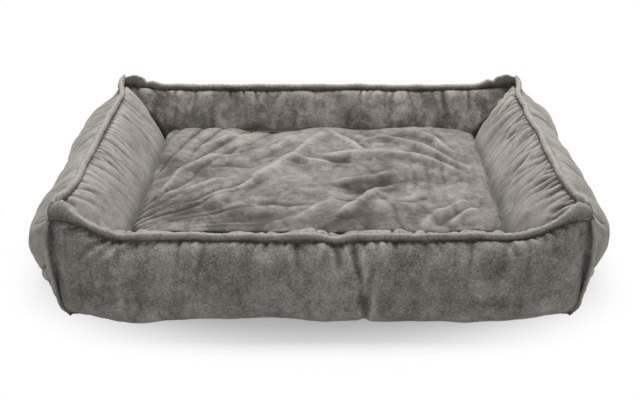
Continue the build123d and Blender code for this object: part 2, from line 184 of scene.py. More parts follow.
class WallForm:
    """A wall's two swelling panels, drawn as the front wall and then turned to its own side."""

    def __init__(self, name, turn, seam, inner_foot, draw=0.0, dip=0.0):
        sizes = bpy.context.scene.bed_sizes
        self.is_side = name in ("left", "right")
        self.name, self.turn, self.seam_middle, self.draw, self.dip = name, turn, seam, draw, dip
        self.half, self.setback = (seam_y, seam_x) if self.is_side else (seam_x, seam_y)
        kind = "side" if self.is_side else name
        self.outer_swell = getattr(sizes, f"{kind}_outer_swell")
        self.inner_swell = getattr(sizes, f"{kind}_swell")
        self.high_swell = sizes.side_high_swell if self.is_side else 0.0
        self.low_swell = sizes.low_swell if name == "front" else 0.0
        self.inner_foot, self.sizes, self.mitre = inner_foot, sizes, 1.0

    def reach(self):
        """How far the inner panel comes in from the straight seam line where it is fullest."""
        return -float(self.arc("inner", np.zeros(80), np.linspace(0, 1, 80))[0].min())

    def full(self, along):
        from_corner = np.clip(self.half - np.abs(along), 0.0, None)
        return (1 - np.cos(math.pi * np.clip(from_corner / self.sizes.corner_run, 0, 1))) / 2

    def seam(self, along):
        height = self.sizes.corner_seam + (self.seam_middle - self.sizes.corner_seam) * self.full(along)
        return height - self.dip * bell(along - dip_place, dip_reach)

    def arc(self, side, along, share, inset=0.0):
        """Points out and up on a panel's swell, from its foot at share 0 to its seam at share 1."""
        full = self.full(along)
        drawn = self.draw * full
        if side == "outer":
            foot_out, seam_out, facing = -outer_foot, seam_neck - drawn, 1
            from_corner = np.clip((self.half - np.abs(along)) / (0.9 * self.sizes.corner_run), 0, 1)
            plump, high_plump, low_plump = (1 - (1 - from_corner) ** power for power in (2.4, 5, 8))
            swell = self.sizes.corner_swell + (self.outer_swell - self.sizes.corner_swell) * plump
        else:
            foot_out, seam_out, facing = -self.inner_foot, -seam_neck - drawn, -1
            swell = self.inner_swell * (0.73 + 0.27 * full)
        seam_up = self.seam(along)
        run, rise = seam_out - foot_out, seam_up - base_top
        chord = np.hypot(run, rise)
        radius = chord**2 / (8 * swell) + swell / 2
        chord_out, chord_up = run / chord, rise / chord
        face_out, face_up = facing * chord_up, -facing * chord_out
        middle_out, middle_up = (foot_out + seam_out) / 2, (base_top + seam_up) / 2
        centre_out = middle_out - (radius - swell) * face_out
        centre_up = middle_up - (radius - swell) * face_up
        spread = np.arcsin(np.clip(chord / 2 / radius, -1, 1)) * (2 * share - 1)
        radius = radius - inset
        out = centre_out + radius * (np.cos(spread) * face_out + np.sin(spread) * chord_out)
        up = centre_up + radius * (np.cos(spread) * face_up + np.sin(spread) * chord_up)
        if side == "outer":
            lifted = np.sin(math.pi * np.clip((share - 0.38) / 0.62, 0, 1)) ** 1.5
            lowered = np.sin(math.pi * np.clip((share + 0.013) / 0.50, 0, 1))
            out = out + self.high_swell * high_plump * lifted * (1.35 - 0.35 * plump)
            out = out + self.low_swell * low_plump * lowered * (2.7 - 1.7 * plump)
        return out, up

    def panel(self, side, columns, rows, inset=0.0, low=0.0, high=1.0):
        """The panel's points, with how far along the wall and below the seam each one is."""
        across = np.linspace(-1, 1, columns)[:, None] * np.ones((1, rows))
        share = np.ones((columns, 1)) * np.linspace(low, high, rows)[None, :]
        along = across * self.half
        slant, overlap = (self.mitre, 0.004) if side == "inner" else (1.0, 0.0)
        for _ in range(40):
            out, up = self.arc(side, along, share, inset)
            along = 0.65 * along + 0.35 * across * (self.half + out * slant + overlap - inset)
        points = np.stack([along, -(self.setback + out), up], axis=-1)
        steps = np.linalg.norm(np.diff(points, axis=1), axis=-1)
        from_foot = np.concatenate([np.zeros((columns, 1)), np.cumsum(steps, axis=1)], axis=1)
        return points, along, from_foot[:, -1:] - from_foot, from_foot

    def turned(self, points):
        """The points, turned about Z from the front to the wall's own side of the bed."""
        cosine, sine = math.cos(math.radians(self.turn)), math.sin(math.radians(self.turn))
        x, y = points[..., 0], points[..., 1]
        return np.stack([x * cosine - y * sine, x * sine + y * cosine, points[..., 2]], axis=-1)


def wall_forms():
    sizes = bpy.context.scene.bed_sizes
    walls = {
        "front": WallForm("front", 0, sizes.front_seam, sizes.long_foot, dip=0.006),
        "right": WallForm("right", 90, sizes.side_seam, sizes.side_foot, sizes.side_draw),
        "rear": WallForm("rear", 180, sizes.rear_seam, sizes.long_foot, sizes.rear_draw),
        "left": WallForm("left", -90, sizes.side_seam, sizes.side_foot, sizes.side_draw),
    }
    slant = walls["left"].reach() / walls["front"].reach()
    for name, wall in walls.items():
        wall.mitre = slant if name in ("front", "rear") else 1 / slant
    return walls


def grid_normals(points):
    across = np.gradient(points, axis=0)
    down = np.gradient(points, axis=1)
    normals = np.cross(across, down)
    return normals / np.maximum(np.linalg.norm(normals, axis=-1, keepdims=True), 1e-12)


def faced(normals, outward):
    """The normals, turned over if they point against outward on the whole."""
    return -normals if (normals * outward).sum() < 0 else normals


def blurred(field, passes):
    for _ in range(passes):
        padded = np.pad(field, 1, mode="edge")
        around = padded[:-2, 1:-1] + padded[2:, 1:-1] + padded[1:-1, :-2] + padded[1:-1, 2:]
        field = (around + 2 * field) / 6
    return field


def painted_fold_light(relief, passes, scale):
    """Painted light and shade from the relief: towards 1, painted light, on a crest, and towards -1, painted
    shade, down in a crease.
    """
    return np.clip((relief - blurred(relief, passes)) / scale, -1.0, 1.0)


def grid_mesh(name, points, outward, closed=False, pile=None):
    """A mesh of quads through a grid of points, facing the way that outward says on the whole."""
    columns, rows, _ = points.shape
    index = np.arange(columns * rows).reshape(columns, rows)
    if closed:
        index = np.concatenate([index, index[:, :1]], axis=1)
    quads = np.stack([index[:-1, :-1], index[1:, :-1], index[1:, 1:], index[:-1, 1:]], axis=-1)
    quads = quads.reshape(-1, 4)
    if (grid_normals(points) * outward).sum() < 0:
        quads = quads[:, ::-1]
    piece = new_piece(name, points.reshape(-1, 3).tolist(), quads.tolist())
    # The pile attribute carries painted light and shade into the plush's colour
    if pile is not None:
        piece.data.attributes.new("pile", "FLOAT", "POINT").data.foreach_set("value", pile.ravel())
    return piece


def new_piece(name, points, faces):
    mesh = bpy.data.meshes.new(name)
    mesh.from_pydata(points, [], faces)
    piece = bpy.data.objects.new(name, mesh)
    bpy.context.scene.collection.objects.link(piece)
    return piece


def select_only(piece):
    bpy.ops.object.select_all(action="DESELECT")
    piece.select_set(True)
    bpy.context.view_layer.objects.active = piece


def apply_modifiers(piece):
    select_only(piece)
    for modifier in list(piece.modifiers):
        bpy.ops.object.modifier_apply(modifier=modifier.name)


def give_thickness(piece, thickness):
    """Turns an open sheet into closed cloth, which keeps its outer face."""
    solid = piece.modifiers.new("cloth", "SOLIDIFY")
    solid.thickness, solid.offset, solid.use_quality_normals = thickness, -1.0, True
    apply_modifiers(piece)


def point_faces_outwards(piece, close_ends=False):
    """Makes a closed piece's faces point outwards, after capping a tube's two open ends."""
    mesh = bmesh.new()
    mesh.from_mesh(piece.data)
    if close_ends:
        bmesh.ops.holes_fill(mesh, edges=[edge for edge in mesh.edges if edge.is_boundary])
        bmesh.ops.triangulate(mesh, faces=[face for face in mesh.faces if len(face.verts) > 4])
    bmesh.ops.recalc_face_normals(mesh, faces=mesh.faces)
    mesh.to_mesh(piece.data)
    mesh.free()


def paint_piece(piece, paint):
    piece.data.materials.clear()
    piece.data.materials.append(material(paint))


def finish_piece(piece, paint, body, replaced):
    """Paints and smooths a piece, and says what it belongs to and what it replaces."""
    paint_piece(piece, paint)
    piece.data.polygons.foreach_set("use_smooth", [True] * len(piece.data.polygons))
    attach(piece, body)
    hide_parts(*replaced)


# Folds that mark the front panel, in metres: place along it, lean, width, depth, start and stop below it
front_creases = [
    (0.044, 0.17, 0.0060, -0.0042, 0.010, 0.120),
    (0.056, 0.12, 0.0100, 0.0030, 0.020, 0.130),
    (0.076, -0.10, 0.0055, -0.0036, 0.045, 0.165),
    (0.020, 0.05, 0.0070, -0.0045, 0.000, 0.050),
    (0.006, -0.35, 0.0060, 0.0030, 0.000, 0.045),
    (-0.030, 0.10, 0.0070, -0.0020, 0.000, 0.060),
    (-0.290, -0.75, 0.0060, -0.0030, 0.000, 0.060),
    (-0.262, -0.80, 0.0070, 0.0028, 0.000, 0.060),
    (0.250, 0.55, 0.0060, -0.0026, 0.000, 0.045),
]


def crease_relief(along, down):
    """The lift of the front panel by its creases, each a soft groove or ridge that starts and fades."""
    relief = np.zeros_like(along)
    for place, lean, width, depth, start, stop in front_creases:
        wander = 0.004 * noise(down / 0.03, place * 50, 5)
        reach = smooth_step(down, start - 0.012, start + 0.012) * (1 - smooth_step(down, stop - 0.03, stop))
        relief += depth * bell(along - place - lean * down - wander, width) * reach
    return relief


# Gathers beside the flanges, in metres: mean spacing, shortest and longest crease, deepest crease
gathers = {
    ("front", "outer"): (0.0100, 0.010, 0.027, 0.0036),
    ("front", "inner"): (0.0110, 0.010, 0.030, 0.0040),
    ("rear", "outer"): (0.0120, 0.012, 0.036, 0.0040),
    ("rear", "inner"): (0.0150, 0.010, 0.050, 0.0034),
    ("left", "outer"): (0.0085, 0.012, 0.040, 0.0046),
    ("left", "inner"): (0.0110, 0.022, 0.105, 0.0052),
    ("right", "outer"): (0.0085, 0.012, 0.040, 0.0046),
    ("right", "inner"): (0.0100, 0.040, 0.130, 0.0098),
}

# Seeds of the random patterns on each wall's panels and flange
panel_seeds = {"front": 11, "right": 23, "rear": 37, "left": 51}
flange_seeds = {"front": 61, "right": 67, "rear": 71, "left": 79}

# How deep the unevenness of the wall plush is: all over, then where single panels have their own
foot_pleat, lump, side_lump, crinkle_depth = 0.0055, 0.0032, 0.0014, 0.0007
front_scallop, rear_fold, corner_crease = 0.0078, 0.0035, 0.0078


def gather_relief(wall, side, along, down, seed):
    """Sharp creases that start at the flange's stitches and run out over the swell."""
    spacing, shortest, longest, deepest = gathers[wall.name, side]
    outward = 0.9 if (wall.name, side) == ("front", "outer") else -0.25
    chance = np.random.default_rng(seed)
    relief = np.zeros_like(along)
    place = -wall.half + 0.4 * spacing
    while place < wall.half:
        length = shortest + (longest - shortest) * chance.random() ** 1.7
        depth = deepest * (0.35 + 0.65 * chance.random())
        width = 0.0019 + 0.0016 * chance.random() + 0.010 * length
        lean = chance.normal(0.0, 0.22) + outward * place / wall.half
        bend = chance.normal(0.0, 0.9)
        centre = place + lean * down + bend * down * down
        spread = width * (0.65 + 1.6 * down / longest)
        away = np.abs(along - centre) / spread
        taper = smooth_step(down, 0.0, 0.005) * np.clip(1 - down / length, 0, 1) ** 1.1
        groove, shoulder = np.exp(-(away**1.5)), bell(away - 2.3, 1.1)
        relief -= depth * taper * (groove - 0.28 * shoulder)
        place += spacing * (0.45 + 1.1 * chance.random())
    return relief


def panel_relief(wall, side, along, down, up, height):
    """How far the plush lifts off a panel's swell at each point, with its gathers and lumps."""
    sizes = wall.sizes
    seed = panel_seeds[wall.name] + (3 if side == "inner" else 0)
    full = wall.full(along)
    near = 1 - np.exp(-down / 0.0045)
    patchy = 0.85 + 0.5 * noise(along / 0.060, down / 0.2, seed + 1)
    relief = patchy * gather_relief(wall, side, along, down, seed)
    broad = pleats(along, down, 0.026, 0.17, seed + 2) * np.exp(-down / (0.085 if wall.is_side else 0.045))
    relief += sizes.gather_depth * (0.55 if wall.name == "front" else 1.0) * near * broad
    relief += sizes.seam_puff * near * np.exp(-down / 0.030)
    foot = np.exp(-up / 0.030) * (1 - np.exp(-up / 0.003))
    relief += foot_pleat * foot * pleats(along, up, 0.030, 0.12, seed + 5)
    lumps = noise(along / 0.085, down / 0.070, seed + 6) + 0.5 * noise(along / 0.040, down / 0.045, seed + 8)
    relief += (lump + side_lump * wall.is_side) * lumps * near
    crinkle = noise(along / 0.016 + 0.7 * noise(along / 0.03, down / 0.03, seed), down / 0.030, seed + 9)
    relief += crinkle_depth * crinkle * near
    if side == "inner":
        relief *= 0.25 + 0.75 * smooth_step(height, 0.080, 0.118)
    if wall.name == "front" and side == "outer":
        relief += crease_relief(along, down)
    if wall.name == "front" and side == "inner":
        scallops = 0.75 + 0.9 * pleats(along, down, 0.017, 0.06, seed + 12)
        relief += front_scallop * scallops * bell(down - 0.019, 0.011) * (0.35 + 0.65 * full)
    if wall.name == "rear" and side == "inner":
        folds = pleats(along, down, 0.034, 0.35, seed + 10)
        relief += rear_fold * folds * smooth_step(down, 0.02, 0.09)
    if side == "outer":
        relief *= 0.6 + 0.4 * full
    return relief


# The rear zip's flat across its panel: where it ends and how deep it is, then the same of its lip
flat_end, flat_fade, flat_depth = 0.0105, 0.0135, 0.0021
lip_place, lip_width, lip_height = 0.0160, 0.0028, 0.0012


def with_zip_flat(relief, along, away):
    """A panel's relief, pressed flat where the rear zip lies, with a soft lip around the flat."""
    end = rear_zip_high.x
    flat = within(away, flat_end, flat_fade) * within(along, end + 0.004, end + 0.009)
    lip = bell(np.abs(away) - lip_place, lip_width) * within(along, end + 0.004, end + 0.015)
    calm = within(away, 0.018, 0.045) * within(along, end + 0.01, end + 0.04)
    return relief * (1 - 0.85 * calm) * (1 - flat) - flat_depth * flat + lip_height * lip


# The mesh of the wall plush: spacing along and up a wall, its least height, and its fade at an edge
column_pitch, row_pitch, floor_gap, edge_fade = 0.0016, 0.0026, 0.0006, 0.010

# How far its rows run up a side wall and a long one, and the share at which an outer panel turns under
side_run, long_run, turned_under = 0.245, 0.20, -0.013

# How much painted shade darkens the pile in a seam, at a corner and down in the well, where shade falls, and
# how far that reaches
seam_shade, seam_shade_reach = 1.1, 0.0045
corner_shade, corner_shade_reach = 1.2, 0.008
well_shade, well_shade_low, well_shade_high = 0.9, 0.080, 0.112


def wall_cover(wall, side):
    """A wall's outer or inner plush as a sheet of quads."""
    outer = side == "outer"
    columns = round(2 * wall.half / column_pitch)
    rows = round((side_run if wall.is_side else long_run) / row_pitch)
    points, along, down, from_foot = wall.panel(side, columns, rows, low=turned_under if outer else 0.0)
    from_core = (points - (0.0, 0.03 - wall.setback, 0.06)) * (0, 1, 1)
    normals = faced(grid_normals(points), from_core)
    relief = panel_relief(wall, side, along, down, from_foot, points[..., 2])
    if wall.name == "rear" and outer:
        zip_height = (rear_zip_low.z + rear_zip_high.z) / 2
        zip_place = np.interp(zip_height, points[columns // 2, :, 2], from_foot[columns // 2])
        relief = with_zip_flat(relief, along, from_foot - zip_place)
    to_end = np.minimum(points[..., 0] - points[:1, :, 0], points[-1:, :, 0] - points[..., 0])
    if wall.is_side and outer:
        creased = pleats(from_foot + 0.4 * to_end, to_end, 0.017, 0.12, 141)
        relief = relief + corner_crease * bell(to_end, 0.045) * creased
    relief = relief * smooth_step(to_end, 0.0, edge_fade) * smooth_step(from_foot, 0.0, edge_fade)
    points = points + normals * relief[..., None]
    points[..., 2] = np.maximum(points[..., 2], floor_gap)
    # The pile attribute: painted light on crests and painted shade in creases, along the seam, at the corners
    # and down in the well
    pile = painted_fold_light(relief, 24, 0.0015) - seam_shade * bell(down, seam_shade_reach)
    if outer:
        pile = pile - corner_shade * bell(to_end, corner_shade_reach)
    else:
        pile = pile - well_shade * (1 - smooth_step(points[..., 2], well_shade_low, well_shade_high))
    return grid_mesh(f"{wall.name}_{side}_plush", wall.turned(points), wall.turned(normals), pile=pile)


# One side of a rolled flange's outline, from its seam up: shares of its half width and its height
roll_side = [(0.46, 0.0), (0.50, 0.0), (0.80, 0.16), (0.98, 0.40), (1.0, 0.64), (0.84, 0.84), (0.48, 0.96)]
seam_depth = 0.0035


def roll_outlines(height, width):
    """The outline of a rolled flange for each height and width, across and up from its seam."""
    side = np.array(roll_side)
    across, share = np.concatenate([side * (-1, 1), [(0.0, 1.0)], side[::-1]]).T
    high = np.multiply.outer(height, share)
    high[:, [0, -1]] = -seam_depth
    return np.multiply.outer(width / 2, across), high


# The painted shade and light of the pile around a roll: darkest in its stitches, lightest on its crown
roll_places, roll_tones = [0, 2, 4, 7, 10, 12, 14], [-0.7, -1.2, 0.0, 0.7, 0.0, -1.2, -0.7]


def stitched_tube(name, rings, seed):
    """A closed soft roll through rings of points, with a little of the pile's unevenness, painted shade in
    its stitches and painted light on its crown.
    """
    centre = rings.mean(axis=1, keepdims=True)
    # Painted shade in the stitches and painted light on the crown, varied a little along the roll
    painted_roll_shade = np.interp(np.arange(rings.shape[1]), roll_places, roll_tones)
    painted_shade_wobble = noise(np.arange(len(rings)) / 3.0, 0.5, seed + 1)[:, None]
    piece = grid_mesh(name, rings, rings - centre, closed=True, pile=painted_roll_shade * (1 + 0.45 * painted_shade_wobble))
    point_faces_outwards(piece, close_ends=True)
    smooth = piece.modifiers.new("round", "SUBSURF")
    smooth.levels = smooth.render_levels = 1
    apply_modifiers(piece)
    places = np.array([vertex.co for vertex in piece.data.vertices])
    normals = np.array([vertex.normal for vertex in piece.data.vertices])
    fuzz = noise(places[:, 0] / 0.0032 + places[:, 2] / 0.004, places[:, 1] / 0.0032, seed)
    places += normals * (0.00035 * fuzz)[:, None]
    piece.data.vertices.foreach_set("co", places.ravel())
    return piece


# Each wall's ears: how long they are, how far they lean in, and how much they thin and widen at the tip
ears = {
    "front": (0.055, 0.007, 0.30, 0.45),
    "rear": (0.090, 0.012, 0.30, 0.15),
    "left": (0.055, 0.007, 0.10, 0.15),
    "right": (0.055, 0.007, 0.10, 0.15),
}

# Along a top flange: the spacing of its rings and stitches, its overlap and its pinch beside an ear
ring_pitch, stitch_pitch, end_overlap, pinch_place = 0.0028, 0.0092, 0.0022, 0.046


def uneven(place, sizes, seed):
    """Noise along a flange, of one kind for each size."""
    return (noise(place / size, row + 0.5, seed) for row, size in enumerate(sizes))


def flange_roll(wall):
    """The wall's top flange, which wanders a little, puckers at its stitches and ends in two ears."""
    sizes = wall.sizes
    seed = flange_seeds[wall.name]
    run, tuck, thinned, widened = ears[wall.name]
    along = np.linspace(-1, 1, round(2 * wall.half / ring_pitch)) * (wall.half + end_overlap)
    from_corner = wall.half - np.abs(along)
    inside = np.maximum(from_corner, 0.0)
    ear = smooth_step(1 - from_corner / run, 0.0, 1.0)
    tip = bell(inside, 0.010)
    pinch = bell(from_corner - pinch_place, 0.006) if wall.name == "rear" else 0.0
    stitch = np.cos(2 * math.pi * along / stitch_pitch)
    tall, thick, sway, shake, heave = uneven(along, (0.022, 0.016, 0.060, 0.018, 0.035), seed)
    height = sizes.flange_height + (sizes.ear_height - sizes.flange_height) * ear
    height = height * (1 + 0.10 * tall + 0.035 * stitch) * (1 - 0.30 * pinch) * (1 - thinned * tip)
    width = sizes.flange_width * (1 - 0.22 * tip) * (1 + 0.10 * thick) * (1 + 0.07 * stitch + widened * ear)
    wander = (0.0022 * sway + 0.0008 * shake) * np.minimum(1.0, inside / 0.03)
    across, high = roll_outlines(height, width)
    lean = -tuck * ear[:, None] * (high / sizes.ear_height) ** 2
    setback = (wall.setback + wander - wall.draw * wall.full(along))[:, None] + lean + across
    up = (wall.seam(along) + 0.0012 * heave)[:, None] + high
    rings = np.stack([along[:, None] * (1 + lean / wall.half), -setback, up], axis=-1)
    return stitched_tube(f"{wall.name}_flange_roll", wall.turned(rings), seed)


def corner_roll(name, x_side, y_side, wall):
    """The flange down an upright corner seam, which stands out along the corner's diagonal."""
    seed = 83 + (x_side > 0) + 2 * (y_side > 0)
    share = np.linspace(0.0, 1.0, 62)
    out, up = wall.arc("outer", np.full_like(share, wall.half), share)
    wander, thick, tall = uneven(up, (0.035, 0.018, 0.022), seed)
    width = 0.66 * wall.sizes.flange_width * (1 + 0.14 * thick)
    height = 0.72 * wall.sizes.flange_height * (1.05 + 0.18 * tall)
    head, foot = smooth_step(share, 0.84, 1.0), 1 - smooth_step(share, 0.0, 0.12)
    across, high = roll_outlines(height * (1 - 0.7 * head - 0.55 * foot), width)
    radial = out[:, None] + high / math.sqrt(2)
    sideways = (across + 0.0018 * wander[:, None]) / math.sqrt(2)
    x = x_side * (seam_x + radial) - y_side * sideways
    y = y_side * (seam_y + radial) + x_side * sideways
    z = np.broadcast_to((up - 0.0015)[:, None], x.shape)
    return stitched_tube(name, np.stack([x, y, z], axis=-1), seed)


# The cushion's folds, seen from above, all in millimetres: width, lift, and points along each one
cushion_folds = [
    (8, 5.8, [(-245, -80), (-220, 12), (-178, 62), (-145, 74)]),
    (7, 3.4, [(-240, -92), (-191, -17)]),
    (6.5, 4.2, [(-232, -78), (-168, -34), (-144, -22)]),
    (16, 8.5, [(-162, -94), (-124, -56), (-74, -1), (-21, 102), (2, 144)]),
    (8.5, 4.5, [(-205, 100), (-170, 126), (-128, 156)]),
    (15, -6, [(-160, 62), (-114, 110), (-93, 156)]),
    (14, 4, [(-120, 60), (-75, 100), (-55, 150)]),
    (10, 5, [(-69, 35), (-30, 40), (15, 38)]),
    (6, -3.6, [(-114, -103), (-70, -94), (-39, -112), (-13, -112)]),
    (11, 5.6, [(-76, -170), (-38, -163), (-10, -143), (12, -110)]),
    (12, 9.2, [(0, -182), (25, -156), (60, -112), (83, -85), (102, -51)]),
    (15, -9.5, [(22, -49), (45, -64), (72, -62), (104, -30)]),
    (9.5, 6.2, [(18, -44), (52, -36), (82, -20), (114, 6)]),
    (10, 6.8, [(10, 62), (50, 78), (100, 78), (151, 57), (195, 28), (233, -14)]),
    (12, -6, [(20, 50), (45, 56), (60, 45)]),
    (9.5, 6.4, [(62, 118), (83, 136), (114, 144), (145, 122), (178, 88), (207, 58), (238, 18)]),
    (13, -4.2, [(80, 112), (130, 106), (180, 66)]),
    (11, 5.2, [(150, 168), (192, 132), (230, 80)]),
    (10, 6, [(10, 165), (48, 132), (68, 97)]),
    (11, -5, [(40, 160), (64, 130), (80, 100)]),
    (9.5, 5, [(147, -178), (173, -143), (203, -112), (222, -103)]),
    (9.5, 4.8, [(191, -170), (217, -143), (243, -130)]),
    (9.5, -4, [(170, -175), (196, -146), (230, -122)]),
    (4.5, -2.8, [(20, -92), (50, -108)]),
    (5, -3, [(110, -108), (135, -98), (160, -80)]),
    (7, 4, [(-240, -143), (-201, -108), (-182, -98)]),
    (12, -4.5, [(-215, -150), (-165, -120), (-130, -100)]),
    (26, -7, [(-150, -150), (-110, -140), (-70, -130)]),
    (12, -4.8, [(-196, 30), (-150, 36), (-110, 20)]),
    (22, -3, [(120, -30), (160, -20), (200, -40)]),
    (16, 3, [(-60, -60), (-10, -70), (10, -60)]),
]


def along_fold(x, y, route):
    """The distance of each point from a fold's route, and how far along the route it lies."""
    route = np.array(route) / 1000
    lengths = np.linalg.norm(np.diff(route, axis=0), axis=1)
    starts = np.concatenate([[0.0], np.cumsum(lengths)])
    best = np.full(x.shape, 1e9)
    place = np.zeros(x.shape)
    for (x0, y0), (x1, y1), length, start in zip(route[:-1], route[1:], lengths, starts):
        run_x, run_y = (x1 - x0) / length, (y1 - y0) / length
        on = np.clip((x - x0) * run_x + (y - y0) * run_y, 0.0, length)
        away = np.hypot(x - x0 - on * run_x, y - y0 - on * run_y)
        nearer = away < best
        best = np.where(nearer, away, best)
        place = np.where(nearer, start + on, place)
    return best, place / starts[-1]


# Where the folds of the cushion's left side fan out from
fan_x, fan_y = -0.330, -0.215

# How deep the cushion's creases and lumps are between its placed folds
fan_depth, ring_depth, front_depth = 0.0062, 0.0030, 0.0052
broad_lump, small_lump, fine_lump = 0.0022, 0.0016, 0.0005


def cushion_relief(x, y):
    """The lift of the cushion's top off its crown: placed folds, then the creases between them."""
    warp_x = x + 0.006 * noise(x / 0.045, y / 0.045, 101)
    warp_y = y + 0.006 * noise(x / 0.045, y / 0.045, 102)
    relief = np.zeros_like(x)
    for width, lift, route in cushion_folds:
        away, place = along_fold(warp_x, warp_y, route)
        taper = np.sin(math.pi * np.clip(0.08 + 0.84 * place, 0, 1)) ** 0.6
        thin = width / 1000 * (0.70 + 0.20 * taper)
        relief += 1.2 * lift / 1000 * taper * np.exp(-((away / thin) ** 1.6))
    left = 1 - smooth_step(x, -0.14, 0.05)
    angle = np.arctan2(y - fan_y, x - fan_x)
    reach = np.hypot(x - fan_x, y - fan_y)
    fan = rumpled(angle * 12 + 0.35 * noise(reach / 0.07, angle * 4, 103), reach / 0.20, 104)
    relief += fan_depth * left * fan
    right = smooth_step(x, 0.00, 0.12)
    ring = (np.abs(x / 0.30) ** 3 + np.abs(y / 0.225) ** 3) ** (1 / 3)
    around = np.arctan2(y, x)
    curved = rumpled(ring * 13 + 0.4 * noise(around * 4, ring * 3, 105), around * 1.3, 106)
    relief += ring_depth * right * smooth_step(y, -0.16, 0.02) * curved
    front = 1 - smooth_step(y, -0.14, -0.04)
    slanted = x / 0.028 + y / 0.06 + 0.4 * noise(x / 0.06, y / 0.06, 107)
    relief += front_depth * front * (1 - left) * rumpled(slanted, y / 0.12 - x / 0.16, 108)
    relief += swell_height(x, y)
    relief += broad_lump * noise(x / 0.060, y / 0.055, 109) + small_lump * noise(x / 0.032, y / 0.030, 110)
    relief += fine_lump * noise(x / 0.009 + noise(x / 0.02, y / 0.02, 111), y / 0.013, 112)
    return relief


# Where the pile is stroked, painted lighter or darker as its sheen and shade, in millimetres: middle across
# and deep, reach across and deep, how light
painted_sheen_patches = [
    (70, -46, 42, 24, -1.0),
    (104, -24, 36, 22, -0.8),
    (36, 52, 24, 16, -1.1),
    (-194, -130, 85, 40, -0.9),
    (-96, -150, 60, 30, -1.1),
    (44, -165, 52, 28, -1.2),
    (135, -145, 40, 25, -0.6),
    (-250, 35, 22, 70, -0.7),
    (-181, 4, 34, 30, -0.6),
    (-85, 140, 85, 28, 0.6),
    (128, 103, 80, 24, 0.6),
    (-31, -20, 55, 40, 0.5),
    (213, -63, 45, 40, 0.6),
]


# Stroked pile patches on the cushion: the pile's lay, painted lighter or darker as its sheen and shade
def stroked_pile_painted_sheen(x, y):
    tone = np.zeros_like(x)
    frayed_x = x + 0.016 * noise(x / 0.030, y / 0.030, 113)
    frayed_y = y + 0.016 * noise(x / 0.030, y / 0.030, 114)
    for *patch, light in painted_sheen_patches:
        across, deep, reach_x, reach_y = np.array(patch) / 1000
        away = ((frayed_x - across) / reach_x) ** 2 + ((frayed_y - deep) / reach_y) ** 2
        tone += light * np.exp(-(away**1.5))
    return tone


# The top's main swells over its mean height in millimetres: rows at their own Y, along X
swell_rows = {
    -0.095: (-2.0, -5.0, -1.0, 1.5, -3.0),
    0.0: (-2.0, 4.0, 1.0, -3.5, -1.0),
    0.095: (1.0, -4.5, 4.5, -1.0, 2.5),
}
swell_pitch = 0.086


def swell_height(x, y):
    columns = swell_pitch * np.arange(-2, 3)
    places = list(swell_rows)
    rows = [np.interp(x, columns, row) for row in swell_rows.values()]
    share = np.clip((y - places[0]) / (places[2] - places[0]) * 2, 0, 2)
    low = rows[0] + (rows[1] - rows[0]) * smooth_step(share, 0.0, 1.0)
    return 0.001 * (low + (rows[2] - rows[1]) * smooth_step(share, 1.0, 2.0))


# The cushion's plan: the length of its drawn-in corners, and how far corners, sides and ends draw in
corner_length, corner_draw, long_draw, end_draw = 0.046, 0.018, 0.002, 0.003


def cushion_plan(columns, rows):
    """Places over the cushion's plan, closer near its edges, and its drawn-in sides."""
    half_x, half_y = cushion_high.x, cushion_high.y
    across = np.sin(np.linspace(-1, 1, columns) * math.pi / 2)[:, None] * np.ones((1, rows))
    deep = np.ones((columns, 1)) * np.sin(np.linspace(-1, 1, rows) * math.pi / 2)[None, :]
    from_end = half_x * (1 - np.abs(across))
    corner = np.clip(1 - from_end / corner_length, 0, 1) ** 1.5
    drawn = corner_draw * corner + long_draw * smooth_step(from_end, corner_length, 2 * corner_length)
    hollow = end_draw * (1 - np.abs(deep) ** 3)
    return across, deep, across * (half_x - hollow * np.abs(across)), deep * (half_y - drawn)


def edge_share(across, deep, power, root):
    inside = (1 - np.abs(across) ** power) * (1 - np.abs(deep) ** power)
    return np.clip(inside, 0, 1) ** (1 / root)


def wall_limit(wall, height):
    """How far from the bed's middle the wall's inner panel stands at each height."""
    share = np.linspace(0, 1, 60)
    out, up = wall.arc("inner", np.zeros(60), share)
    return wall.setback + np.interp(height, up, out)


# The cushion: its clearance from the walls, its cloth's thickness, and the half sizes that an inset scales
wall_clearance, cushion_cloth, inset_half_x, inset_half_y = 0.0035, 0.0012, 0.258, 0.187

# How many points across and deep the cushion's meshes have
top_grid, bottom_grid, fibre_grid = (300, 220), (150, 110), (110, 80)


def cushion_surfaces(columns, rows, inset=0.0):
    """The cushion's top and bottom as grids of points that meet along its seam."""
    crown = bpy.context.scene.bed_sizes.crown
    walls = wall_forms()
    across, deep, x, y = cushion_plan(columns, rows)
    x, y = x * (1 - inset / inset_half_x), y * (1 - inset / inset_half_y)
    edge = edge_share(across, deep, 40, 3.0)
    height = cushion_seam + (crown - inset) * (0.955 * edge + 0.045 * (1 - across**2) * (1 - deep**2))
    stretch = smooth_step(height - cushion_seam, 0.012, 0.042)
    clear = wall_clearance + inset

    def widened(place, share, wall, height):
        """Places, stretched outwards by a share as far as the wall allows."""
        away = np.abs(place)
        limit = wall_limit(walls[wall], height) - clear
        return np.sign(place) * np.maximum(away, np.minimum(away * (1 + share), limit))

    wide = widened(x, (0.025 + 0.060 * stretch) * across**2, "left", height)
    back = widened(y, 0.090 * stretch * deep**2, "rear", height)
    drop = cushion_seam - cushion_rest
    low = np.minimum(edge_share(across, deep, 6, 2.0) * 1.12, 1.0)
    low_stretch = 0.025 * (1 - smooth_step(low, 0.0, 0.9))
    below = widened(x, low_stretch * across**2, "left", np.full_like(x, cushion_seam))
    top = np.stack([wide, back, height], axis=-1)
    bottom = np.stack([below, y, cushion_seam - (drop - inset) * low], axis=-1)
    return top, bottom, edge


def make_room_for_zip(points):
    """Draws the cushion's rear side in behind its zip."""
    beside = within(points[..., 0], cushion_zip_end, cushion_zip_end + 0.012)
    level = within(points[..., 2] - cushion_seam, 0.010, 0.014)
    points[..., 1] -= 0.0028 * beside * level * (points[..., 1] > 0)


